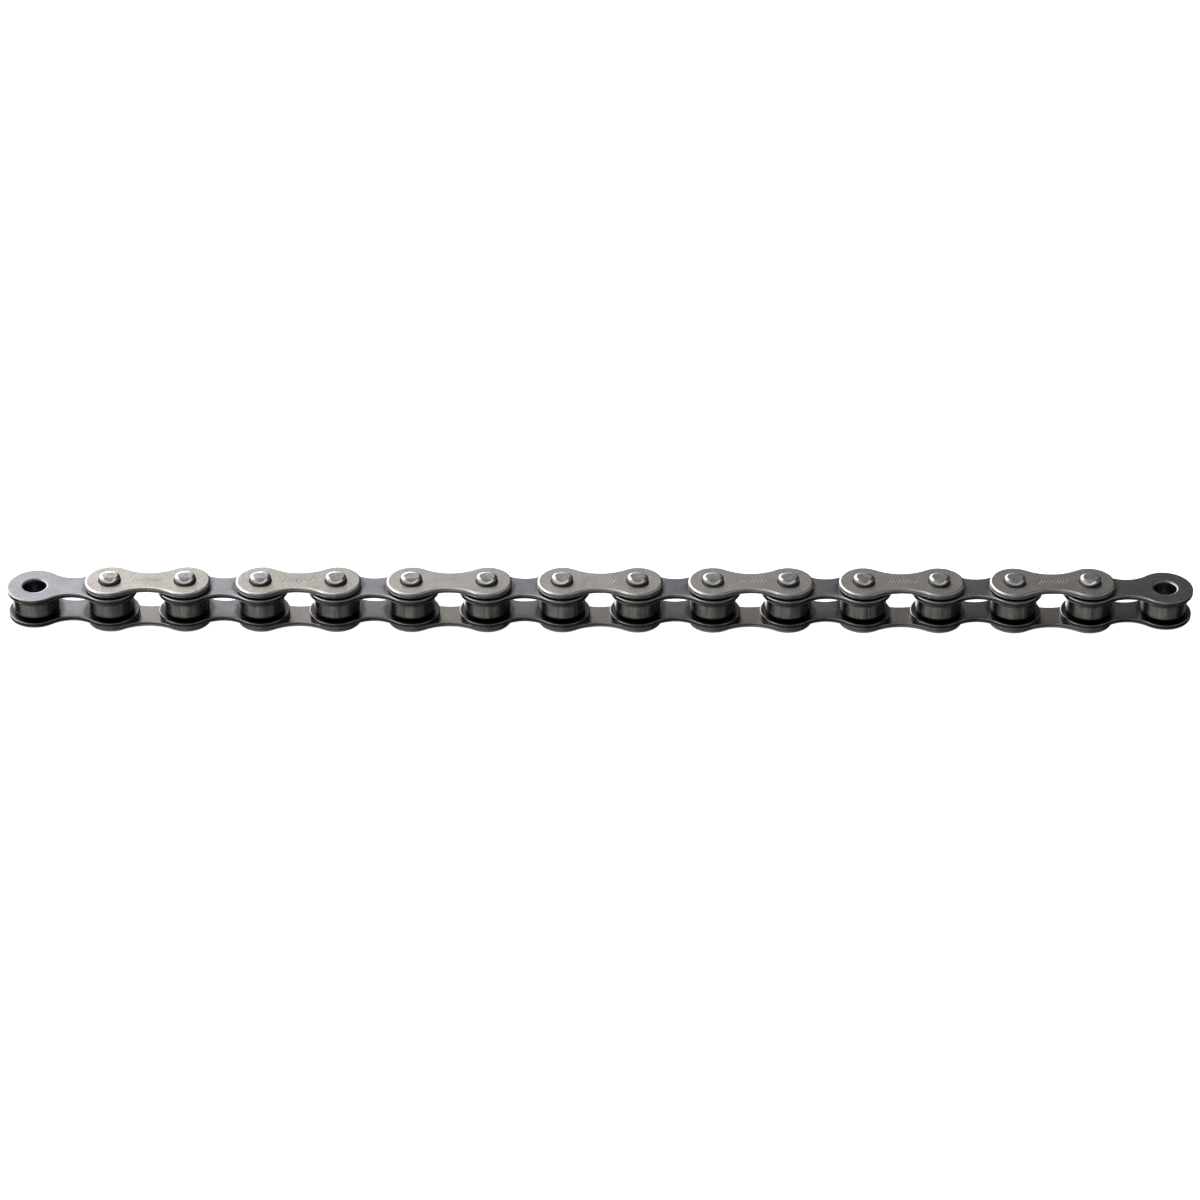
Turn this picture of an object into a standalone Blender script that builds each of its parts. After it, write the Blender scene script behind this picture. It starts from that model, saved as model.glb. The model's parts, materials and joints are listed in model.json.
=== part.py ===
"""Roller chain, 12.7 mm (1/2 inch) pitch, riveted pins, bushingless rollers.

A straight stretch of chain lying on its side. Seven outer links and eight
inner links alternate, with an inner link at each end, ready for a connecting
link. The chain runs along X, the pins stand along Z, and Z = 0 is the lower
end of the pins. X = 0 is the middle of the middle outer link.

An inner link is two waisted plates whose drawn collars meet inside the two
rollers and carry them. An outer link is two slimmer waisted plates pressed
onto two pins, which turn in the collars of the neighbouring inner links.
"""

import math

import bmesh
import bpy

MM = 0.001

# Driving dimensions, in metres.
PITCH = 12.7 * MM  # from pin to pin
OUTER_LINKS = 7
INNER_LINKS = OUTER_LINKS + 1

PIN_DIAMETER = 3.6 * MM
PIN_LENGTH = 9.56 * MM
PIN_CHAMFER = 0.42 * MM  # rounds over the riveted end

ROLLER_DIAMETER = 7.75 * MM
ROLLER_WIDTH = 3.2 * MM
ROLLER_BORE = 5.6 * MM
ROLLER_CHAMFER = 0.35 * MM

INNER_WIDTH = 3.8 * MM  # between the inner plates
INNER_PLATE = 0.85 * MM  # plate thickness
INNER_END_RADIUS = 4.7 * MM
INNER_WAIST = 5.0 * MM  # height of the plate at its waist
COLLAR_DIAMETER = 5.2 * MM
COLLAR_GAP = 0.12 * MM  # between the two collars at mid-width
BORE_DIAMETER = 3.8 * MM  # in the collars, around the pin

SIDE_GAP = 0.25 * MM  # between an inner and an outer plate
OUTER_PLATE = 0.9 * MM
OUTER_END_RADIUS = 4.2 * MM
OUTER_WAIST = 4.9 * MM
PRESS_CLEARANCE = 0.02 * MM  # on the pin's radius, in the outer plate

# Facets of the round shapes.
PIN_FACETS = 12
ROLLER_FACETS = 16
END_STEPS = 14  # round each end of a plate
WAIST_STEPS = 6  # along each waist

MID = PIN_LENGTH / 2  # height of the chain's middle plane
INNER_FACE = INNER_WIDTH / 2  # from the middle plane to an inner plate
OUTER_FACE = INNER_FACE + INNER_PLATE + SIDE_GAP  # and to an outer plate


def clear_scene():
    for obj in list(bpy.data.objects):
        bpy.data.objects.remove(obj, do_unlink=True)


def new_collection(name, hidden=False):
    collection = bpy.data.collections.new(name)
    bpy.context.scene.collection.children.link(collection)
    collection.hide_render = hidden
    return collection


def steel(name, colour, roughness):
    """A bare or plated steel finish."""
    material = bpy.data.materials.new(name)
    material.use_nodes = True
    shader = material.node_tree.nodes["Principled BSDF"]
    shader.inputs["Base Color"].default_value = (*colour, 1.0)
    shader.inputs["Metallic"].default_value = 1.0
    shader.inputs["Roughness"].default_value = roughness
    material.diffuse_color = (*colour, 1.0)
    return material


def waisted_outline(end_radius, waist):
    """Points of a figure-of-eight link plate, anticlockwise.

    Each end is an arc round its hole. An outward-centred arc joins the two
    ends smoothly and leaves the plate `waist` high in the middle.
    """
    half, low = PITCH / 2, waist / 2
    radius = (half**2 + low**2 - end_radius**2) / (2 * (end_radius - low))
    height = low + radius  # of the waist arc's centre
    turn = math.atan2(height, -half)  # where the end arc meets the waist arc
    side = math.atan2(half, height)  # half of the waist arc

    points = []
    for i in range(END_STEPS):  # right-hand end, from below to above
        a = -turn + 2 * turn * i / END_STEPS
        points.append(
            (half + end_radius * math.cos(a), end_radius * math.sin(a))
        )
    for i in range(WAIST_STEPS):  # upper waist, right to left
        a = side - 2 * side * i / WAIST_STEPS
        points.append((radius * math.sin(a), height - radius * math.cos(a)))
    return points + [(-x, -y) for x, y in points]


def plate_blank(name, end_radius, waist, thickness, collection):
    """A solid plate on the XY plane, lying between z = 0 and its thickness."""
    curve = bpy.data.curves.new(name, "CURVE")
    curve.dimensions = "2D"
    curve.fill_mode = "BOTH"
    curve.extrude = thickness / 2
    outline = waisted_outline(end_radius, waist)
    spline = curve.splines.new("POLY")
    spline.points.add(len(outline) - 1)
    for point, (x, y) in zip(spline.points, outline):
        point.co = (x, y, 0.0, 1.0)
    spline.use_cyclic_u = True

    drawn = bpy.data.objects.new(name + "_curve", curve)
    collection.objects.link(drawn)
    bpy.context.view_layer.update()
    graph = bpy.context.evaluated_depsgraph_get()
    mesh = bpy.data.meshes.new_from_object(drawn.evaluated_get(graph))
    bpy.data.objects.remove(drawn, do_unlink=True)

    bm = bmesh.new()
    bm.from_mesh(mesh)
    bmesh.ops.remove_doubles(bm, verts=bm.verts, dist=1e-7)
    bmesh.ops.translate(bm, verts=bm.verts, vec=(0, 0, thickness / 2))
    bmesh.ops.recalc_face_normals(bm, faces=bm.faces)
    bm.to_mesh(mesh)
    bm.free()
    blank = bpy.data.objects.new(name, mesh)
    collection.objects.link(blank)
    return blank


def rod(name, diameter, bottom, top, x, facets, collection):
    """A faceted cylinder along Z, centred on (x, 0)."""
    bpy.ops.mesh.primitive_cylinder_add(
        vertices=facets,
        radius=diameter / 2,
        depth=top - bottom,
        location=(x, 0, (top + bottom) / 2),
    )
    obj = bpy.context.object
    obj.name = name
    for other in list(obj.users_collection):
        other.objects.unlink(obj)
    collection.objects.link(obj)
    hide(obj)
    return obj


def hide(obj):
    obj.hide_render = True
    obj.display_type = "WIRE"


def boolean(obj, tool, operation):
    modifier = obj.modifiers.new(operation.lower() + "_" + tool.name, "BOOLEAN")
    modifier.operation = operation
    modifier.object = tool
    modifier.solver = "EXACT"


def finished(obj, name, material):
    """The mesh of an object with its modifiers applied, ready to share."""
    bpy.context.view_layer.update()
    graph = bpy.context.evaluated_depsgraph_get()
    mesh = bpy.data.meshes.new_from_object(obj.evaluated_get(graph))
    mesh.name = name
    mesh.materials.clear()
    mesh.materials.append(material)
    mesh.shade_smooth()
    mesh.set_sharp_from_angle(angle=math.radians(40))
    hide(obj)
    return mesh


def turned(name, profile, facets, closed, material, collection):
    """A solid of revolution round Z, from (radius, height) points."""
    mesh = bpy.data.meshes.new(name + "_profile")
    edges = [(i, i + 1) for i in range(len(profile) - 1)]
    if closed:
        edges.append((len(profile) - 1, 0))
    mesh.from_pydata([(r, 0.0, z) for r, z in profile], edges, [])
    obj = bpy.data.objects.new(name + "_profile", mesh)
    collection.objects.link(obj)
    screw = obj.modifiers.new("turn", "SCREW")
    screw.axis = "Z"
    screw.angle = math.tau
    screw.steps = facets
    screw.render_steps = facets
    screw.use_merge_vertices = True
    screw.merge_threshold = 1e-6
    return finished(obj, name, material)


def inner_plate_mesh(material, tools):
    """Upper inner plate, with its two collars drawn down towards z = 0."""
    blank = plate_blank(
        "inner_plate_blank", INNER_END_RADIUS, INNER_WAIST, INNER_PLATE, tools
    )
    blank.location.z = INNER_FACE
    for side in (-1, 1):
        x = side * PITCH / 2
        collar = rod(
            f"collar_{side}",
            COLLAR_DIAMETER,
            COLLAR_GAP / 2,
            INNER_FACE + INNER_PLATE / 2,
            x,
            PIN_FACETS,
            tools,
        )
        boolean(blank, collar, "UNION")
    for side in (-1, 1):
        x = side * PITCH / 2
        bore = rod(
            f"bore_{side}",
            BORE_DIAMETER,
            -INNER_PLATE,
            INNER_FACE + 2 * INNER_PLATE,
            x,
            PIN_FACETS,
            tools,
        )
        boolean(blank, bore, "DIFFERENCE")
    return on_mid_plane(blank, "inner_plate", material)


def outer_plate_mesh(material, tools):
    """Upper outer plate, with its two pin holes."""
    blank = plate_blank(
        "outer_plate_blank", OUTER_END_RADIUS, OUTER_WAIST, OUTER_PLATE, tools
    )
    blank.location.z = OUTER_FACE
    for side in (-1, 1):
        hole = rod(
            f"pin_hole_{side}",
            PIN_DIAMETER + 2 * PRESS_CLEARANCE,
            OUTER_FACE - OUTER_PLATE,
            OUTER_FACE + 2 * OUTER_PLATE,
            side * PITCH / 2,
            PIN_FACETS,
            tools,
        )
        boolean(blank, hole, "DIFFERENCE")
    return on_mid_plane(blank, "outer_plate", material)


def on_mid_plane(blank, name, material):
    """The finished mesh, measured from the link's centre."""
    mesh = finished(blank, name, material)
    mesh.transform(blank.matrix_world)
    return mesh


def pin_mesh(material, tools):
    radius, half = PIN_DIAMETER / 2, PIN_LENGTH / 2
    flat = radius - PIN_CHAMFER
    profile = [
        (0.0, half),
        (flat, half),
        (radius, half - PIN_CHAMFER),
        (radius, -half + PIN_CHAMFER),
        (flat, -half),
        (0.0, -half),
    ]
    return turned("pin", profile, PIN_FACETS, False, material, tools)


def roller_mesh(material, tools):
    radius, bore, half = ROLLER_DIAMETER / 2, ROLLER_BORE / 2, ROLLER_WIDTH / 2
    flat = radius - ROLLER_CHAMFER
    profile = [
        (flat, half),
        (radius, half - ROLLER_CHAMFER),
        (radius, -half + ROLLER_CHAMFER),
        (flat, -half),
        (bore, -half),
        (bore, half),
    ]
    return turned("roller", profile, ROLLER_FACETS, True, material, tools)


def empty(name, parent, x, z, collection):
    """A link's own frame: it stands on the axis that the link turns on."""
    frame = bpy.data.objects.new(name, None)
    frame.empty_display_size = PITCH / 4
    frame.parent = parent
    frame.location = (x, 0, z)
    collection.objects.link(frame)
    return frame


def piece(name, mesh, parent, x, collection, lower=False):
    obj = bpy.data.objects.new(name, mesh)
    obj.parent = parent
    obj.location = (x, 0, 0)
    if lower:
        obj.rotation_euler = (math.pi, 0, 0)
    collection.objects.link(obj)
    return obj


def build():
    clear_scene()
    tools = new_collection("cutters", hidden=True)
    chain = new_collection("roller_chain")

    plate_steel = steel("outer_plate_nickel", (0.40, 0.36, 0.32), 0.42)
    dark_steel = steel("inner_plate_steel", (0.17, 0.17, 0.20), 0.34)
    pin_steel = steel("pin_steel", (0.33, 0.33, 0.34), 0.36)
    roller_steel = steel("roller_steel", (0.16, 0.15, 0.145), 0.32)

    meshes = {
        "inner": inner_plate_mesh(dark_steel, tools),
        "outer": outer_plate_mesh(plate_steel, tools),
        "pin": pin_mesh(pin_steel, tools),
        "roller": roller_mesh(roller_steel, tools),
    }

    middle = (OUTER_LINKS + 1) // 2

    def outer_link(number, parent, x, centre):
        """Makes an outer link whose centre is `centre` along its frame."""
        name = f"outer_link_{number}"
        frame = empty(name + "_frame", parent, x, 0, chain)
        piece(f"{name}_upper_plate", meshes["outer"], frame, centre, chain)
        piece(
            f"{name}_lower_plate", meshes["outer"], frame, centre, chain, True
        )
        for side, word in ((-1, "left"), (1, "right")):
            at = centre + side * PITCH / 2
            piece(f"{name}_{word}_pin", meshes["pin"], frame, at, chain)
        return frame

    def inner_link(number, parent, x, centre):
        name = f"inner_link_{number}"
        frame = empty(name + "_frame", parent, x, 0, chain)
        piece(f"{name}_upper_plate", meshes["inner"], frame, centre, chain)
        piece(
            f"{name}_lower_plate", meshes["inner"], frame, centre, chain, True
        )
        for side, word in ((-1, "left"), (1, "right")):
            at = centre + side * PITCH / 2
            piece(f"{name}_{word}_roller", meshes["roller"], frame, at, chain)
        return frame

    root = outer_link(middle, None, 0, 0)
    root.location.z = MID

    # Each arm hangs link from link, away from the middle outer link.
    for side in (-1, 1):
        parent, offset = root, PITCH / 2
        for step in range(middle):
            inner = middle + (step + 1 if side > 0 else -step)
            centre = side * PITCH / 2
            parent = inner_link(inner, parent, side * offset, centre)
            offset = PITCH
            if step < middle - 1:
                outer = middle + side * (step + 1)
                parent = outer_link(outer, parent, side * PITCH, centre)

    bpy.context.view_layer.update()


build()
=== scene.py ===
"""Looks of the roller chain.

Every plate, pin and roller of the CAD frame is replaced by a finely modelled
piece of the same size that rides on the same body: plates with rounded,
blanked edges, drawn collars and shallow stamped strokes, riveted pin ends,
and curled rollers with a seam. Lengths are in millimetres inside the mesh
code and in metres in Blender.
"""

import json
import math
import random

import bmesh
import bpy
from mathutils import Matrix, Vector
from mathutils.geometry import tessellate_polygon

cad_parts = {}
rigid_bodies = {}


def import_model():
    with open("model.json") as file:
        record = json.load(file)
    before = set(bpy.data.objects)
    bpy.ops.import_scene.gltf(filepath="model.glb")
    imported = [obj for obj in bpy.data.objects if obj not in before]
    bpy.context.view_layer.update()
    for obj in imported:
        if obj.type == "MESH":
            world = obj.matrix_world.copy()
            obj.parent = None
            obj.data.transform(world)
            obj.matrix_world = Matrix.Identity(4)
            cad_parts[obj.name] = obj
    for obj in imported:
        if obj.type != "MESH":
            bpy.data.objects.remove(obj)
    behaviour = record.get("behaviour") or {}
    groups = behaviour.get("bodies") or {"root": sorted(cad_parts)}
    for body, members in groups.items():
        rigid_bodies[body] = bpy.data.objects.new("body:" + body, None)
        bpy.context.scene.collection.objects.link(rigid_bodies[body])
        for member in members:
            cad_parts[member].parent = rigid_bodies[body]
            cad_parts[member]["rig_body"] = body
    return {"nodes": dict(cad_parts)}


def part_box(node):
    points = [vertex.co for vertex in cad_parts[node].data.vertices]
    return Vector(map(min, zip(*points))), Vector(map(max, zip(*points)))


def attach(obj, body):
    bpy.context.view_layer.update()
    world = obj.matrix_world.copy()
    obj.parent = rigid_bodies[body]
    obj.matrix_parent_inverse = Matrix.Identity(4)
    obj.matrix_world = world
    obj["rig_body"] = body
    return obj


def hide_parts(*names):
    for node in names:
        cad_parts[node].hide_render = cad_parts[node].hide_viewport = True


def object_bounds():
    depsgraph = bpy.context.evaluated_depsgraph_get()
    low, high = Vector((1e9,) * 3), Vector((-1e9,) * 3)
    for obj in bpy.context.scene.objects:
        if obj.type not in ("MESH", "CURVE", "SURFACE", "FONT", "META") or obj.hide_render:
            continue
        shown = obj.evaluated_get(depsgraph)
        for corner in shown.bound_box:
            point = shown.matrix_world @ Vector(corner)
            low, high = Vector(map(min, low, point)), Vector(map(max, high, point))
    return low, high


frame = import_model()
CAD_BOX = [list(corner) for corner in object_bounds()]

MM = 0.001

# The chain's dimensions, in mm, as in the CAD frame.
PITCH = 12.7
HALF = PITCH / 2
PIN_R = 1.8
PIN_LENGTH = 9.56
ROLLER_R, ROLLER_WIDTH, ROLLER_BORE_R = 3.875, 3.2, 2.8
INNER_FACE, INNER_PLATE = 1.9, 0.85
INNER_R, INNER_WAIST = 4.7, 5.0
COLLAR_R, COLLAR_GAP, BORE_R = 2.6, 0.12, 1.9
OUTER_FACE, OUTER_PLATE = 3.0, 0.9
OUTER_R, OUTER_WAIST = 4.2, 4.9

MID = (CAD_BOX[0][2] + CAD_BOX[1][2]) / 2  # height of the middle plane

# The studio: the back panel, then (turns, rises, feather, strength) boxes in
# degrees, turned from straight behind the chain and from straight ahead.
PANEL = {"fade": 10.5, "left": -0.165, "right": 0.25, "far": 0.66, "near": 0.94, "strength": 0.325, "ambient": 0.05, "glow": 0.75}
LEFT_PANELS = (
    ((-100.0, -34.0), (-12.0, 26.0), 5.0, 2.0),
    ((-128.0, -64.0), (18.0, 52.0), 6.0, 2.2),
    ((-48.0, -8.0), (-44.0, -18.0), 5.0, 2.2),
    ((-8.0, 70.0), (-62.0, -16.0), 8.0, 0.12),
    ((48.0, 135.0), (8.0, 60.0), 14.0, 0.26),
    ((-180.0, 180.0), (70.0, 100.0), 6.0, 0.36),
)
FRONT_FILLS = (
    ((-80.0, 6.0), (-58.0, -14.0), 8.0, 0.42),
    ((6.0, 62.0), (-58.0, -14.0), 10.0, 0.16),
    ((-70.0, 70.0), (10.0, 50.0), 10.0, 0.18),
)

END_STEPS = 64
WAIST_STEPS = 30
HOLE_STEPS = 56


# --------------------------------------------------------------------------
# Materials
# --------------------------------------------------------------------------

class Nodes:
    """A short way to wire a material's nodes."""

    def __init__(self, tree):
        self.tree = tree

    def add(self, kind, settings=None, **inputs):
        node = self.tree.nodes.new(kind)
        for key, value in (settings or {}).items():
            setattr(node, key, value)
        for key, value in inputs.items():
            key = key.replace("_", " ")
            if key.isdigit():
                key = int(key)
            self.put(node.inputs[key], value)
        return node

    def put(self, socket, value):
        if isinstance(value, bpy.types.NodeSocket):
            self.tree.links.new(value, socket)
        elif isinstance(value, bpy.types.Node):
            self.tree.links.new(value.outputs[0], socket)
        else:
            socket.default_value = value

    def math(self, operation, a, b=0.0, c=0.0, clamp=False):
        node = self.tree.nodes.new("ShaderNodeMath")
        node.operation = operation
        node.use_clamp = clamp
        for socket, value in zip(node.inputs, (a, b, c)):
            self.put(socket, value)
        return node.outputs[0]

    def ramp(self, factor, stops, interpolation="LINEAR"):
        node = self.tree.nodes.new("ShaderNodeValToRGB")
        node.color_ramp.interpolation = interpolation
        elements = node.color_ramp.elements
        while len(elements) < len(stops):
            elements.new(0.5)
        for element, (at, value) in zip(elements, stops):
            element.position = at
            colour = value if isinstance(value, tuple) else (value,) * 3
            element.color = (*colour, 1.0)
        self.put(node.inputs[0], factor)
        return node.outputs[0]

    def mix(self, factor, a, b, blend="MIX"):
        node = self.tree.nodes.new("ShaderNodeMix")
        node.data_type = "RGBA"
        node.blend_type = blend
        self.put(node.inputs[0], factor)
        for socket, value in ((node.inputs[6], a), (node.inputs[7], b)):
            if isinstance(value, tuple) and len(value) == 3:
                value = (*value, 1.0)
            self.put(socket, value)
        return node.outputs[2]

    def noise(self, vector, scale, detail=3.0, rough=0.5):
        node = self.add(
            "ShaderNodeTexNoise", {}, Vector=vector, Scale=scale, Detail=detail, Roughness=rough
        )
        return node.outputs[0]


def new_material(name):
    material = bpy.data.materials.new(name)
    material.use_nodes = True
    tree = material.node_tree
    tree.nodes.clear()
    n = Nodes(tree)
    out = n.add("ShaderNodeOutputMaterial")
    shader = n.add("ShaderNodeBsdfPrincipled", {}, Metallic=1.0)
    tree.links.new(shader.outputs[0], out.inputs[0])
    # Object coordinates in millimetres, shifted for each piece so that no two
    # pieces carry the same marks.
    coords = n.add("ShaderNodeTexCoord").outputs["Object"]
    info = n.add("ShaderNodeObjectInfo").outputs["Random"]
    shift = n.add("ShaderNodeCombineXYZ", {}, X=n.math("MULTIPLY", info, 91.0),
                  Y=n.math("MULTIPLY", info, 47.0), Z=n.math("MULTIPLY", info, 23.0))
    place = n.add("ShaderNodeVectorMath", {"operation": "MULTIPLY_ADD"})
    n.put(place.inputs[0], coords)
    place.inputs[1].default_value = (1000.0, 1000.0, 1000.0)
    n.put(place.inputs[2], shift.outputs[0])
    edge = n.add("ShaderNodeAttribute", {"attribute_name": "edge"}).outputs["Fac"]
    cut = n.add("ShaderNodeAttribute", {"attribute_name": "cut"}).outputs["Fac"]
    return material, n, shader, place.outputs[0], info, edge, cut


def outer_steel():
    """Tumbled, nickel-plated steel: warm grey, speckled; rounded edges painted bright (painted highlight, partly rubbed
    wear), walls and hole rims painted dark (painted shade, partly the raw torn band), strokes a little darker.
    """
    m, n, shader, at, info, edge, cut = new_material("outer_plate_nickel")
    cloud = n.noise(at, 0.25, 3.0, 0.55)
    grain = n.noise(at, 3.3, 3.0, 0.60)
    fine = n.noise(at, 7.0, 2.0, 0.55)
    pits = n.noise(at, 2.0, 1.0, 0.45)
    base = n.ramp(cloud, [(0.30, (0.478, 0.448, 0.420)), (0.70, (0.562, 0.530, 0.502))])
    base = n.mix(1.0, base, n.ramp(grain, [(0.32, 0.76), (0.50, 0.98), (0.70, 1.08)]), "MULTIPLY")
    base = n.mix(1.0, base, n.ramp(fine, [(0.34, 0.76), (0.52, 1.0), (0.72, 1.05)]), "MULTIPLY")
    base = n.mix(0.75, base, n.ramp(pits, [(0.205, 0.25), (0.27, 1.0)]), "MULTIPLY")
    # Painted shade: the inside face, between the plates, is painted darker than the outside one.
    where = n.add("ShaderNodeSeparateXYZ", {}, Vector=n.add("ShaderNodeTexCoord").outputs["Object"]).outputs
    inside = n.add("ShaderNodeMapRange")
    for socket, value in zip(inside.inputs, (where[2], OUTER_FACE * MM, (OUTER_FACE + 0.15) * MM, 1.0, 0.0)):
        n.put(socket, value)
    base = n.mix(n.math("MULTIPLY", inside.outputs[0], 0.60), base, (0.155, 0.143, 0.132))
    # Painted highlight, partly rubbed wear: the rounded edges are painted bright.
    base = n.mix(n.math("MULTIPLY", edge, 0.85), base, (0.82, 0.80, 0.775))
    # Painted shade, partly the raw torn band: walls and hole rims are painted dark, the strokes a little.
    base = n.mix(n.math("MULTIPLY", cut, 0.85), base, (0.215, 0.195, 0.178))
    n.put(shader.inputs["Base Color"], base)
    rough = n.ramp(grain, [(0.3, 0.42), (0.7, 0.31)])
    rough = n.mix(n.math("MULTIPLY", edge, 0.85), rough, (0.17, 0.17, 0.17))
    n.put(shader.inputs["Roughness"], rough)
    height = n.math("ADD", n.math("MULTIPLY", grain, 1.0), n.math("MULTIPLY", pits, 0.6))
    height = n.math("ADD", height, n.math("MULTIPLY", n.noise(at, 0.7, 2.0), 1.4))
    bump = n.add("ShaderNodeBump", {}, Strength=0.26, Distance=0.00004, Height=height)
    n.put(shader.inputs["Normal"], bump.outputs[0])
    return m


def inner_steel(name, bare=0):
    """Dark, smooth, bluish heat-treated steel, with painted shade around the collars, on the inside face and on the
    edge walls.

    bare is the side, -1 or 1, of a chain-end plate whose outer face has no
    outer plate over it, and so gets no painted shade around its collars.
    """
    m, n, shader, at, info, edge, cut = new_material(name)
    cloud = n.noise(at, 0.30, 3.0, 0.5)
    stretched = n.add("ShaderNodeVectorMath", {"operation": "MULTIPLY"})
    n.put(stretched.inputs[0], at)
    stretched.inputs[1].default_value = (0.25, 2.2, 1.0)
    lines = n.noise(stretched.outputs[0], 1.4, 4.0, 0.6)
    grain = n.noise(at, 4.0, 3.0, 0.6)
    base = n.ramp(cloud, [(0.3, (0.290, 0.292, 0.320)), (0.7, (0.355, 0.357, 0.388))])
    base = n.mix(0.6, base, n.ramp(lines, [(0.3, 0.80), (0.7, 1.10)]), "MULTIPLY")
    base = n.mix(0.6, base, n.ramp(grain, [(0.3, 0.80), (0.7, 1.08)]), "MULTIPLY")
    # Painted shade: the face is painted dark in a ring around each collar, under the roller, and where an outer plate
    # covers its outer face.
    where = n.add("ShaderNodeSeparateXYZ", {}, Vector=n.add("ShaderNodeTexCoord").outputs["Object"]).outputs
    off = n.math("SUBTRACT", n.math("ABSOLUTE", where[0]), HALF * MM)
    reach = n.math("SQRT", n.math("ADD", n.math("MULTIPLY", off, off), n.math("MULTIPLY", where[1], where[1])))
    painted_shade_ramp = n.add("ShaderNodeMapRange", {"interpolation_type": "SMOOTHSTEP"})
    rim = n.math("MULTIPLY_ADD", n.math("SUBTRACT", cloud, 0.5), 0.0016, reach)
    for socket, value in zip(painted_shade_ramp.inputs, (rim, 0.0051, 0.0042, 0.0, 1.0)):
        n.put(socket, value)
    inside = n.add("ShaderNodeMapRange")
    for socket, value in zip(inside.inputs, (where[2], (INNER_FACE + 0.02) * MM, (INNER_FACE + INNER_PLATE) * MM, 1.0, 0.0)):
        n.put(socket, value)
    # Painted shade: the inside face, between the plates, is painted darker.
    base = n.mix(n.math("MULTIPLY", inside.outputs[0], 0.46), base, (0.125, 0.127, 0.138))
    covered = 0.75 if not bare else n.math("MULTIPLY", n.math("LESS_THAN", n.math("MULTIPLY", where[0], float(bare)), 0.0), 0.75)
    face = n.math("MAXIMUM", inside.outputs[0], covered)
    painted_shade = n.math("MULTIPLY", painted_shade_ramp.outputs[0], n.math("MULTIPLY", face, n.ramp(cloud, [(0.30, 0.80), (0.62, 1.0)])))
    base = n.mix(n.math("MULTIPLY", painted_shade, 0.86), base, (0.035, 0.036, 0.040))
    # Painted highlight: the rounded edges and bore mouths are painted lighter.
    base = n.mix(n.math("MULTIPLY", edge, 0.80), base, (0.55, 0.55, 0.57))
    # Painted shade, partly the raw torn band: the edge walls are painted nearly black.
    base = n.mix(n.math("MULTIPLY", cut, 0.85), base, (0.060, 0.058, 0.058))
    n.put(shader.inputs["Base Color"], base)
    rough = n.ramp(lines, [(0.3, 0.33), (0.7, 0.26)])
    n.put(shader.inputs["Roughness"], rough)
    height = n.math("ADD", n.math("MULTIPLY", lines, 0.5), n.math("MULTIPLY", n.noise(at, 0.8, 2.0), 1.2))
    bump = n.add("ShaderNodeBump", {}, Strength=0.3, Distance=0.00003, Height=height)
    n.put(shader.inputs["Normal"], bump.outputs[0])
    return m


def roller_steel():
    """Hardened steel, drawn along the roller's axis, painted dark towards its ends and on its rounded edges (painted
    shade).
    """
    m, n, shader, at, info, edge, cut = new_material("roller_steel")
    stretched = n.add("ShaderNodeVectorMath", {"operation": "MULTIPLY"})
    n.put(stretched.inputs[0], at)
    stretched.inputs[1].default_value = (1.6, 1.6, 0.16)
    bands = n.noise(stretched.outputs[0], 1.0, 3.0, 0.6)
    cloud = n.noise(at, 0.7, 3.0, 0.55)
    grain = n.noise(at, 3.6, 3.0, 0.6)
    base = n.ramp(cloud, [(0.3, (0.245, 0.232, 0.218)), (0.7, (0.350, 0.332, 0.312))])
    base = n.mix(0.9, base, n.ramp(bands, [(0.32, 0.62), (0.55, 1.0), (0.72, 1.22)]), "MULTIPLY")
    base = n.mix(0.6, base, n.ramp(grain, [(0.3, 0.75), (0.7, 1.1)]), "MULTIPLY")
    # Painted shade: the roller is painted darker towards its ends, where the plates shade it.
    where = n.add("ShaderNodeSeparateXYZ", {}, Vector=n.add("ShaderNodeTexCoord").outputs["Object"]).outputs
    painted_shade_ramp = n.add("ShaderNodeMapRange", {"interpolation_type": "SMOOTHSTEP"})
    for socket, value in zip(painted_shade_ramp.inputs, (n.math("ABSOLUTE", where[2]), 1.15 * MM, 1.55 * MM, 0.0, 0.45)):
        n.put(socket, value)
    base = n.mix(painted_shade_ramp.outputs[0], base, (0.060, 0.057, 0.054))
    # Painted shade: the rounded ends are painted nearly black.
    base = n.mix(n.math("MULTIPLY", edge, 0.8), base, (0.045, 0.044, 0.043))
    n.put(shader.inputs["Base Color"], base)
    n.put(shader.inputs["Roughness"], n.ramp(bands, [(0.3, 0.32), (0.7, 0.23)]))
    bump = n.add("ShaderNodeBump", {}, Strength=0.35, Distance=0.00003,
                 Height=n.math("ADD", n.math("MULTIPLY", bands, 0.8), n.math("MULTIPLY", cloud, 0.6)))
    n.put(shader.inputs["Normal"], bump.outputs[0])
    return m


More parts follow.
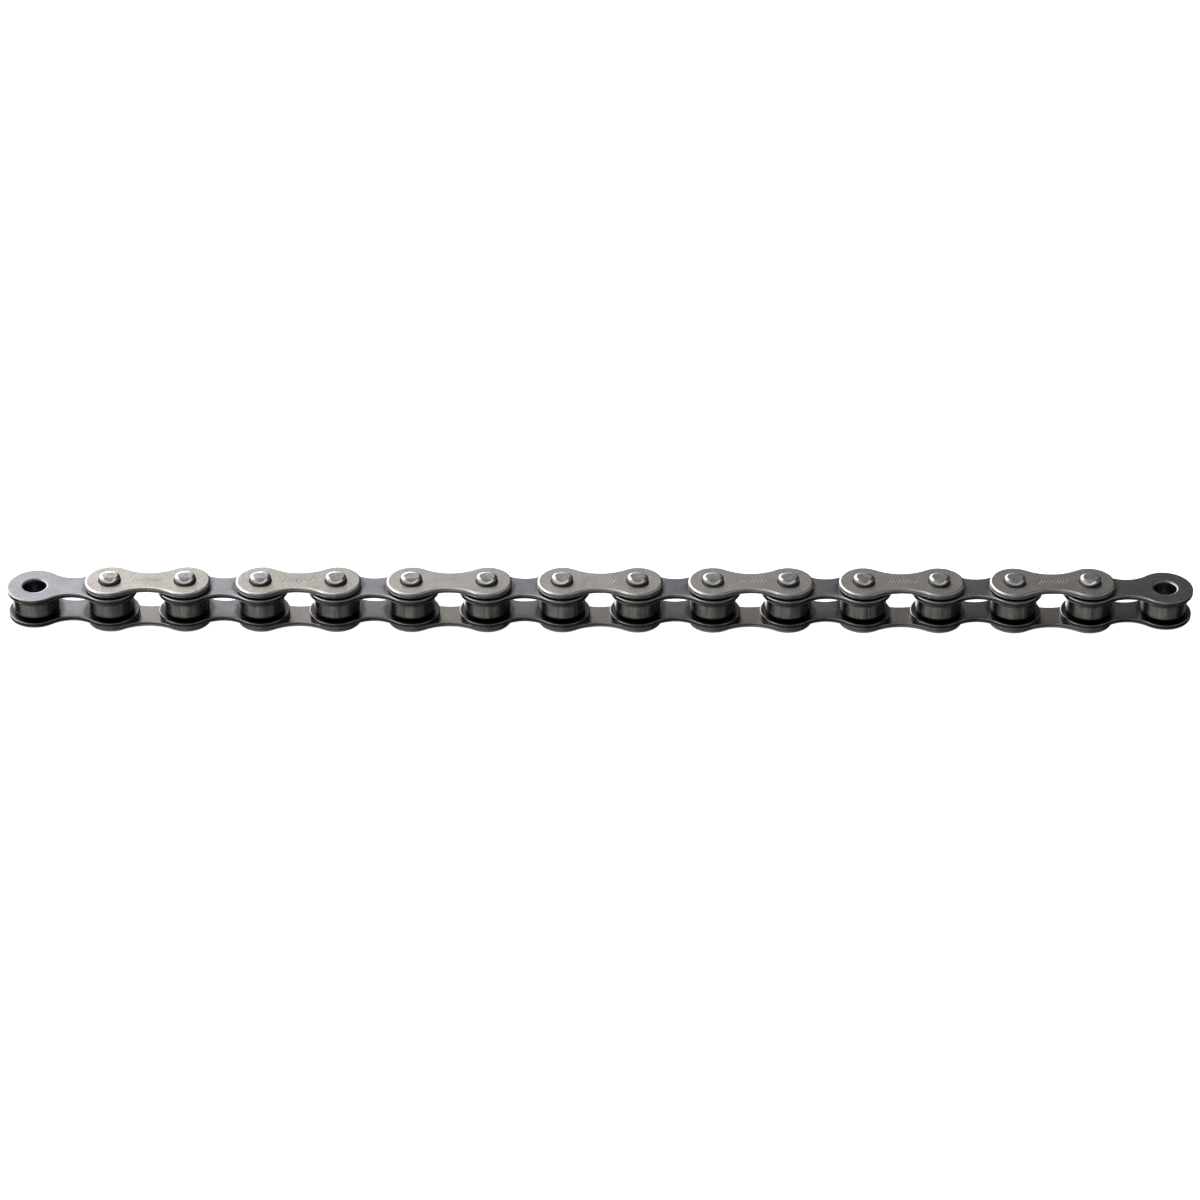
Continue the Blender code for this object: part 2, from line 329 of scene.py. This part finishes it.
def pin_steel():
    """Bright cropped pin: mottled end face inside a riveted rim painted bright (painted highlight, partly polish), with
    its wall painted dark (painted shade).
    """
    m, n, shader, at, info, edge, cut = new_material("pin_steel")
    cloud = n.noise(at, 0.9, 3.0, 0.6)
    grain = n.noise(at, 3.4, 3.0, 0.6)
    base = n.ramp(cloud, [(0.32, (0.312, 0.315, 0.325)), (0.68, (0.467, 0.469, 0.480))])
    base = n.mix(0.9, base, n.ramp(grain, [(0.34, 0.62), (0.62, 1.1)]), "MULTIPLY")
    # Painted highlight, partly polish: the rim rings are painted near white.
    base = n.mix(n.math("MULTIPLY", edge, 0.9), base, (0.88, 0.87, 0.86))
    # Painted shade: the wall below the rim is painted nearly black.
    base = n.mix(n.math("MULTIPLY", cut, 0.9), base, (0.085, 0.078, 0.072))
    n.put(shader.inputs["Base Color"], base)
    rough = n.ramp(grain, [(0.3, 0.46), (0.7, 0.36)])
    rough = n.mix(n.math("MULTIPLY", edge, 0.85), rough, (0.15, 0.15, 0.15))
    n.put(shader.inputs["Roughness"], rough)
    bump = n.add("ShaderNodeBump", {}, Strength=0.45, Distance=0.00004,
                 Height=n.math("ADD", n.math("MULTIPLY", cloud, 1.0), n.math("MULTIPLY", grain, 0.4)))
    n.put(shader.inputs["Normal"], bump.outputs[0])
    return m


# --------------------------------------------------------------------------
# Meshes
# --------------------------------------------------------------------------

def outline(end_radius, waist, inset=0.0):
    """The figure-of-eight plate outline, offset inwards by inset."""
    low = waist / 2
    radius = (HALF**2 + low**2 - end_radius**2) / (2 * (end_radius - low))
    height = low + radius
    turn = math.atan2(height, -HALF)
    side = math.atan2(HALF, height)
    end, arc = end_radius - inset, radius + inset
    points = []
    for i in range(END_STEPS):
        a = -turn + 2 * turn * i / END_STEPS
        points.append((HALF + end * math.cos(a), end * math.sin(a)))
    for i in range(WAIST_STEPS):
        a = side - 2 * side * i / WAIST_STEPS
        points.append((arc * math.sin(a), height - arc * math.cos(a)))
    return points + [(-x, -y) for x, y in points]


def circle(radius, centre, steps=HOLE_STEPS):
    return [
        (centre + radius * math.cos(math.tau * i / steps), radius * math.sin(math.tau * i / steps))
        for i in range(steps)
    ]


def quarter(radius, steps, start, end):
    """Angles of a rounded edge: (1 - cos, 1 - sin) style offsets."""
    return [start + (end - start) * i / steps for i in range(steps + 1)]


class Builder:
    """Collects rings of points into one closed mesh, in mm, with the two
    vertex attributes the materials read: one marks rounded edges, painted bright on plates and pins (painted highlight,
    partly rubbed wear) and dark on rollers (painted shade); the other marks walls, hole rims and strokes, painted dark
    (painted shade, partly the raw torn band)."""

    def __init__(self):
        self.bm = bmesh.new()
        self.edge = self.bm.verts.layers.float.new("edge")
        self.cut = self.bm.verts.layers.float.new("cut")

    def ring(self, points, z, edge=0.0, cut=0.0):
        made = []
        for i, (x, y) in enumerate(points):
            height = z[i] if isinstance(z, list) else z
            v = self.bm.verts.new((x, y, height))
            v[self.edge], v[self.cut] = edge, cut
            made.append(v)
        return made

    def join(self, a, b):
        count = len(a)
        for i in range(count):
            j = (i + 1) % count
            self.bm.faces.new((a[i], a[j], b[j], b[i]))

    def chain(self, rings):
        for a, b in zip(rings, rings[1:]):
            self.join(a, b)

    def cap(self, *loops):
        flat = [v for loop in loops for v in loop]
        triangles = tessellate_polygon([[v.co.copy() for v in loop] for loop in loops])
        for t in triangles:
            self.bm.faces.new([flat[i] for i in t])

    def fan(self, ring, centre):
        for i in range(len(ring)):
            self.bm.faces.new((ring[i], ring[(i + 1) % len(ring)], centre))

    def mesh(self, name, sharp=38.0):
        bmesh.ops.recalc_face_normals(self.bm, faces=self.bm.faces)
        mesh = bpy.data.meshes.new(name)
        for v in self.bm.verts:
            v.co *= MM
        self.bm.to_mesh(mesh)
        self.bm.free()
        mesh.shade_smooth()
        mesh.set_sharp_from_angle(angle=math.radians(sharp))
        return mesh


def rounded_wall(b, shape, top, bottom, upper, lower, step_at=None):
    """Rings of a plate's blanked edge, from its upper face to its lower one.

    shape(inset) gives the outline. upper and lower are the edge radii. At
    step_at, a share of the wall, the smooth sheared band meets the rougher
    torn band, which stands 0.02 mm back.
    """
    rings = [b.ring(shape(upper + 0.10), top)]
    for a in quarter(1, 5, math.pi / 2, 0):
        # The rounding's rings carry the edge mark, painted bright as a painted highlight (partly rubbed wear),
        # strongest at the top.
        rings.append(b.ring(shape(upper - upper * math.cos(a)), top - upper + upper * math.sin(a), edge=min(1.0, 0.1 + 0.8 * a)))
    if step_at is not None:
        z = top - upper - (top - upper - bottom - lower) * step_at
        # The wall's rings are painted darker downwards: painted shade, partly the raw torn band.
        rings.append(b.ring(shape(0.0), top - upper - 0.06, cut=0.35))
        rings.append(b.ring(shape(0.0), z + 0.02, cut=0.45))
        rings.append(b.ring(shape(0.022), z - 0.01, cut=1.0))
        rings.append(b.ring(shape(0.026), bottom + lower + 0.03, cut=1.0))
    for a in quarter(1, 4, 0, -math.pi / 2):
        rings.append(b.ring(shape(lower - lower * math.cos(a)), bottom + lower + lower * math.sin(a), edge=0.6))
    rings.append(b.ring(shape(lower + 0.10), bottom))
    b.chain(rings)
    return rings[0], rings[-1]


# A band of plain slanted dashes: x, y, slant in degrees, half length and half
# width in mm.
STROKES = tuple(
    (-2.16 + 0.54 * i, 0.0, -32.0, 0.50, 0.085) for i in range(9)
)


def press(x, y):
    """Depth of the shallow strokes at a point of the plate's face, in mm."""
    depth = 0.0
    for cx, cy, slant, long, wide in STROKES:
        s, c = math.sin(math.radians(slant)), math.cos(math.radians(slant))
        along = abs(-(x - cx) * s + (y - cy) * c)
        across = abs((x - cx) * c + (y - cy) * s)
        d = math.hypot(max(0.0, along - long), across) / wide
        depth = max(depth, math.exp(-(d ** 3) * 0.7))
    return 0.034 * depth


def outer_plate_mesh(name):
    b = Builder()
    top, bottom = OUTER_FACE + OUTER_PLATE, OUTER_FACE
    upper, lower = 0.30, 0.12
    first, last = rounded_wall(
        b, lambda d: outline(OUTER_R, OUTER_WAIST, d), top, bottom, upper, lower, 0.55
    )
    tops, bottoms = [first], [last]
    for side in (-1, 1):
        x = side * HALF
        rings = [b.ring(circle(PIN_R + 0.20, x), top)]
        # The hole's countersunk rim is painted dark: a painted contact shadow around the pin.
        for r, z in ((0.13, 0.0), (0.08, 0.02), (0.05, 0.06), (0.03, 0.14)):
            rings.append(b.ring(circle(PIN_R + r, x), top - z, cut=0.8))
        for r, z in ((0.03, 0.10), (0.05, 0.0), (0.12, 0.0)):
            rings.append(b.ring(circle(PIN_R + r, x), bottom + z))
        b.chain(rings)
        tops.append(rings[0])
        bottoms.append(rings[-1])
    # The stamped patch: a fine grid whose rim is a hole in the cap.
    wide, deep, across, along = 2.85, 0.95, 114, 38
    grid = [
        [
            b.ring([(-wide + 2 * wide * i / across, -deep + 2 * deep * j / along)], 0.0)[0]
            for i in range(across + 1)
        ]
        for j in range(along + 1)
    ]
    for j, row in enumerate(grid):
        for i, v in enumerate(row):
            inside = 0 < i < across and 0 < j < along
            d = press(v.co.x, v.co.y) if inside else 0.0
            v.co.z = top - d
            # The strokes are painted darker the deeper they are.
            v[b.cut] = min(1.0, d / 0.034) * 0.22
    for j in range(along):
        for i in range(across):
            b.bm.faces.new((grid[j][i], grid[j][i + 1], grid[j + 1][i + 1], grid[j + 1][i]))
    rim = grid[0][:-1] + [row[-1] for row in grid[:-1]] + grid[-1][:0:-1] + [row[0] for row in grid[:0:-1]]
    tops.append(rim)
    b.cap(*tops)
    b.cap(*bottoms)
    return b.mesh(name)


def inner_plate_mesh(name):
    """Plate with its collars: one closed skin over face, bore and collar."""
    b = Builder()
    top, bottom = INNER_FACE + INNER_PLATE, INNER_FACE
    end = COLLAR_GAP / 2
    first, last = rounded_wall(
        b, lambda d: outline(INNER_R, INNER_WAIST, d), top, bottom, 0.19, 0.13, 0.5
    )
    tops, bottoms = [first], [last]
    mouth, fillet = 0.34, 0.25
    for side in (-1, 1):
        x = side * HALF
        rings = [b.ring(circle(BORE_R + mouth + 0.10, x), top)]
        for a in quarter(1, 5, math.pi / 2, 0):  # drawn-in mouth of the bore
            rings.append(b.ring(circle(BORE_R + mouth - mouth * math.cos(a), x), top - mouth + mouth * math.sin(a), edge=0.4))
        rings.append(b.ring(circle(BORE_R, x), end + 0.06))
        rings.append(b.ring(circle(BORE_R + 0.06, x), end, edge=0.5))
        rings.append(b.ring(circle(COLLAR_R - 0.10, x), end, edge=0.5))
        rings.append(b.ring(circle(COLLAR_R - 0.03, x), end + 0.03, edge=0.6))
        rings.append(b.ring(circle(COLLAR_R, x), end + 0.12))
        for a in quarter(1, 4, math.pi, math.pi / 2):  # collar into the plate
            rings.append(b.ring(circle(COLLAR_R + fillet * (1 + math.cos(a)), x), bottom - fillet + fillet * math.sin(a)))
        rings.append(b.ring(circle(COLLAR_R + fillet + 0.08, x), bottom))
        b.chain(rings)
        tops.append(rings[0])
        bottoms.append(rings[-1])
    b.cap(*tops)
    b.cap(*bottoms)
    return b.mesh(name)


def roller_mesh(name, rng):
    """A curled roller: rounded ends and one seam along it."""
    b = Builder()
    half = ROLLER_WIDTH / 2
    seam = rng.uniform(0, math.tau)
    angles = [seam + math.tau * i / 96 for i in range(96)]
    extra = [0.012, 0.026, 0.045]
    angles = sorted(angles + [seam + e for e in extra] + [seam + math.tau - e for e in extra])
    phase = [rng.uniform(0, math.tau) for _ in range(3)]

    def shape(radius, groove=0.0):
        points = []
        for a in angles:
            d = min(abs(a - seam), math.tau - abs(a - seam))
            r = radius - groove * math.exp(-((d / 0.014) ** 2))
            r += 0.006 * math.sin(2 * a + phase[0]) + 0.004 * math.sin(5 * a + phase[1])
            points.append((r * math.cos(a), r * math.sin(a)))
        return points

    # (radius, height, edge mark, dark mark), from the bore's lower end outwards and up. The rounded ends carry the edge
    # mark, which the roller's material paints dark as painted shade.
    lip = 0.30
    profile = [(ROLLER_BORE_R, -half + 0.12, 0, 0), (ROLLER_BORE_R + 0.10, -half, 0.3, 0), (ROLLER_R - lip - 0.12, -half, 0, 0)]
    for a in quarter(1, 6, -math.pi / 2, 0):
        share = abs(a) / (math.pi / 2)
        profile.append((ROLLER_R - 0.02 - lip + lip * math.cos(a), -half + lip + lip * math.sin(a), 1.0, 0))
    profile.append((ROLLER_R, -half + lip + 0.35, 0, 0))
    profile.append((ROLLER_R + 0.0, 0.0, 0, 0))
    profile += [(r, -z, e, c) for r, z, e, c in reversed(profile[:-1])]
    rings = [b.ring(shape(r, 0.05 if r > ROLLER_R - lip else 0.0), z, edge=e, cut=c) for r, z, e, c in profile]
    b.chain(rings)
    b.join(rings[-1], rings[0])
    return b.mesh(name)


def pin_mesh(name, rng):
    """A riveted pin: its ends are swaged to a shield-shaped flat, straight at
    the back, whose front third is bent down."""
    b = Builder()
    steps = 90
    half = PIN_LENGTH / 2
    rings = []
    for end in (1, -1):
        turn = rng.gauss(0, 0.13)
        lobes = rng.uniform(0.07, 0.11)
        oval = rng.uniform(-0.01, 0.04)
        crease = rng.uniform(0.45, 0.72)
        pitch = rng.uniform(0.36, 0.46)
        wobble = [rng.uniform(0, math.tau) for _ in range(2)]
        slope = (rng.uniform(-0.02, 0.02), rng.uniform(-0.02, 0.02))

        def flat(a):
            r = 1.30 * (1 + lobes * math.sin(3 * (a - turn)) + oval * math.cos(2 * a))
            return min(r * (1 + 0.012 * math.sin(5 * a + wobble[0]) + 0.006 * math.sin(9 * a + wobble[1])), PIN_R - 0.09)

        def surface(x, y):
            """Depth of the end face below the pin's tip, in mm."""
            front = -(y * math.cos(turn) - x * math.sin(turn)) - crease
            fold = pitch * (front + math.sqrt(front * front + 0.006)) / 2
            return 0.035 + fold + 0.02 + slope[0] * x + slope[1] * y

        made = []
        centre = b.bm.verts.new((0, 0, end * (half - surface(0, 0) - 0.01)))
        for scale in (0.18, 0.32, 0.44, 0.54, 0.63, 0.71, 0.79, 0.86, 0.92, 0.965, 1.0):
            points, heights = [], []
            for i in range(steps):
                a = math.tau * i / steps
                x, y = flat(a) * scale * math.cos(a), flat(a) * scale * math.sin(a)
                points.append((x, y))
                heights.append(end * (half - surface(x, y) - (0.008 if scale == 1.0 else 0.0)))
            made.append(b.ring(points, heights, edge=1.0 if scale > 0.95 else 0.0))
        b.fan(made[0], centre)
        # The flat's outer rim and bevel rings are painted bright (painted highlight, partly polish), the wall below
        # them dark (painted shade).
        for share, drop, edge, cut in ((0.10, 0.018, 1.0, 0.0), (0.56, 0.080, 1.0, 0.0), (0.70, 0.13, 0.5, 0.5), (0.88, 0.22, 0.0, 1.0), (1.0, 0.36, 0.0, 1.0)):
            points, heights = [], []
            for i in range(steps):
                a = math.tau * i / steps
                x, y = flat(a) * math.cos(a), flat(a) * math.sin(a)
                r = flat(a) + (PIN_R - flat(a)) * share
                points.append((r * math.cos(a), r * math.sin(a)))
                heights.append(end * (half - surface(x, y) - drop))
            made.append(b.ring(points, heights, edge=edge, cut=cut))
        made.append(b.ring(circle(PIN_R, 0, steps), end * (half - 1.25), cut=1.0))
        b.chain(made)
        rings.append(made[-1])
    b.join(rings[0], rings[1])
    return b.mesh(name, 50.0)


# --------------------------------------------------------------------------
# The chain
# --------------------------------------------------------------------------

MATERIALS = {
    "outer_plate": outer_steel(),
    "inner_plate": inner_steel("inner_plate_steel"),
    "roller": roller_steel(),
    "pin": pin_steel(),
}


def place(node, mesh, slot, x, lower=False):
    obj = bpy.data.objects.new(node + "_fine", mesh)
    bpy.context.scene.collection.objects.link(obj)
    obj.location = (x, 0.0, MID)
    if lower:
        obj.rotation_euler = (math.pi, 0.0, 0.0)
    if not mesh.materials:
        mesh.materials.append(MATERIALS[slot])
    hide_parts(node)
    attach(obj, frame["nodes"][node]["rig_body"])
    return obj


def middle_x(node):
    low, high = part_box(node)
    return (low.x + high.x) / 2


def build_chain():
    outer = outer_plate_mesh("outer_plate_fine")
    inner = inner_plate_mesh("inner_plate_fine")
    ends = {}
    for link, bare in (("inner_link_1", -1), ("inner_link_8", 1)):
        ends[link] = inner.copy()
        ends[link].name = link + "_plate_fine"
        ends[link].materials.append(inner_steel(link + "_plate_steel", bare))
    for node in sorted(frame["nodes"]):
        x = middle_x(node)
        lower = "lower" in node
        if node.endswith("plate"):
            kind = "outer_plate" if node.startswith("outer") else "inner_plate"
            mesh = outer if kind == "outer_plate" else ends.get(node[:12], inner)
            place(node, mesh, kind, x, lower)
        elif node.endswith("roller"):
            rng = random.Random("roller " + node)
            place(node, roller_mesh(node + "_mesh", rng), "roller", x)
        else:
            rng = random.Random("pin " + node)
            place(node, pin_mesh(node + "_mesh", rng), "pin", x)


build_chain()


# --------------------------------------------------------------------------
# Floor, light and camera
# --------------------------------------------------------------------------

def floor():
    mesh = bpy.data.meshes.new("floor")
    bm = bmesh.new()
    bmesh.ops.create_grid(bm, x_segments=1, y_segments=1, size=6.0)
    bm.to_mesh(mesh)
    bm.free()
    obj = bpy.data.objects.new("floor", mesh)
    bpy.context.scene.collection.objects.link(obj)
    obj.location = (0, 0, -0.00003)
    material = bpy.data.materials.new("pale_floor")
    material.use_nodes = True
    tree = material.node_tree
    tree.nodes.clear()
    n = Nodes(tree)
    out = n.add("ShaderNodeOutputMaterial")
    diffuse = n.add("ShaderNodeBsdfDiffuse", {}, Color=(0.9, 0.9, 0.9, 1.0))
    glow = n.add("ShaderNodeEmission", {}, Color=(1.0, 1.0, 1.0, 1.0), Strength=0.93)
    both = n.add("ShaderNodeAddShader")
    tree.links.new(diffuse.outputs[0], both.inputs[0])
    tree.links.new(glow.outputs[0], both.inputs[1])
    tree.links.new(both.outputs[0], out.inputs[0])
    mesh.materials.append(material)
    obj.visible_glossy = False  # the metal reflects the studio, not the floor
    obj.visible_diffuse = False


def studio():
    """A soft studio, brighter on the left.

    A broad panel stands behind and above the chain and fades from left to
    right, a tall bright panel stands to the left, and low fill comes from
    the front left. Directions: +X right, +Y away from the camera, +Z up.
    """
    world = bpy.data.worlds.new("studio")
    bpy.context.scene.world = world
    world.use_nodes = True
    tree = world.node_tree
    tree.nodes.clear()
    n = Nodes(tree)
    out = n.add("ShaderNodeOutputWorld")
    direction = n.add("ShaderNodeTexCoord").outputs["Generated"]
    x, y, z = n.add("ShaderNodeSeparateXYZ", {}, Vector=direction).outputs

    def soft(value, low, high):
        node = n.add("ShaderNodeMapRange", {"interpolation_type": "SMOOTHSTEP"})
        for socket, v in zip(node.inputs, (value, low, high, 0.0, 1.0)):
            n.put(socket, v)
        return node.outputs[0]

    degrees = 180.0 / math.pi
    rise = n.math("MULTIPLY", n.math("ARCSINE", z), degrees)
    around = n.math("MULTIPLY", n.math("ARCTAN2", x, y), degrees)  # 0 away, -90 left
    ahead = n.math("MULTIPLY", n.math("ARCTAN2", x, n.math("MULTIPLY", y, -1.0)), degrees)  # 0 front

    def box(turn, turns, rises, feather, strength):
        window = n.math("MULTIPLY", soft(turn, turns[0] - feather, turns[0] + feather),
                        soft(turn, turns[1] + feather, turns[1] - feather))
        window = n.math("MULTIPLY", window, soft(rise, rises[0] - feather, rises[0] + feather))
        window = n.math("MULTIPLY", window, soft(rise, rises[1] + feather, rises[1] - feather))
        return n.math("MULTIPLY", window, strength)

    side = n.math("MAXIMUM", n.math("MINIMUM", x, PANEL["right"]), PANEL["left"])
    fade = n.math("EXPONENT", n.math("MULTIPLY", side, -PANEL["fade"]))
    toward = n.math("ADD", n.math("MULTIPLY", y, 0.824), n.math("MULTIPLY", z, 0.566))
    light = n.math("MULTIPLY", n.math("MULTIPLY", fade, soft(toward, PANEL["far"], PANEL["near"])), PANEL["strength"])
    upper = n.math("MULTIPLY", soft(z, -0.05, 0.35), n.math("MULTIPLY", fade, PANEL["ambient"]))
    light = n.math("ADD", light, upper)
    # low over the horizon at the back: the bevels of the pin ends catch it
    light = n.math("ADD", light, n.math("MULTIPLY", fade, box(around, (-35.0, 35.0), (-6.0, 12.0), 4.0, PANEL["glow"])))
    for turns, rises, feather, strength in LEFT_PANELS:
        light = n.math("ADD", light, box(around, turns, rises, feather, strength))
    for turns, rises, feather, strength in FRONT_FILLS:
        light = n.math("ADD", light, box(ahead, turns, rises, feather, strength))
    light = n.math("ADD", light, 0.015)
    background = n.add("ShaderNodeBackground", {}, Color=(1.0, 0.992, 0.98, 1.0), Strength=light)
    tree.links.new(background.outputs[0], out.inputs[0])


def camera():
    data = bpy.data.cameras.new("camera")
    data.lens = 117.0
    data.sensor_width = 36.0
    data.clip_start, data.clip_end = 0.05, 20.0
    obj = bpy.data.objects.new("camera", data)
    bpy.context.scene.collection.objects.link(obj)
    elevation, distance, roll = math.radians(34.3), 0.6587, math.radians(0.11)
    back = Vector((0.0, -math.cos(elevation), math.sin(elevation)))
    aim = Vector((0.0, 0.0, MID))
    obj.location = aim + back * distance
    obj.rotation_euler = (Matrix.Rotation(roll, 4, back) @ (-back).to_track_quat("-Z", "Y").to_matrix().to_4x4()).to_euler()
    bpy.context.scene.camera = obj


floor()
studio()
camera()
bpy.context.scene.view_settings.view_transform = "Standard"
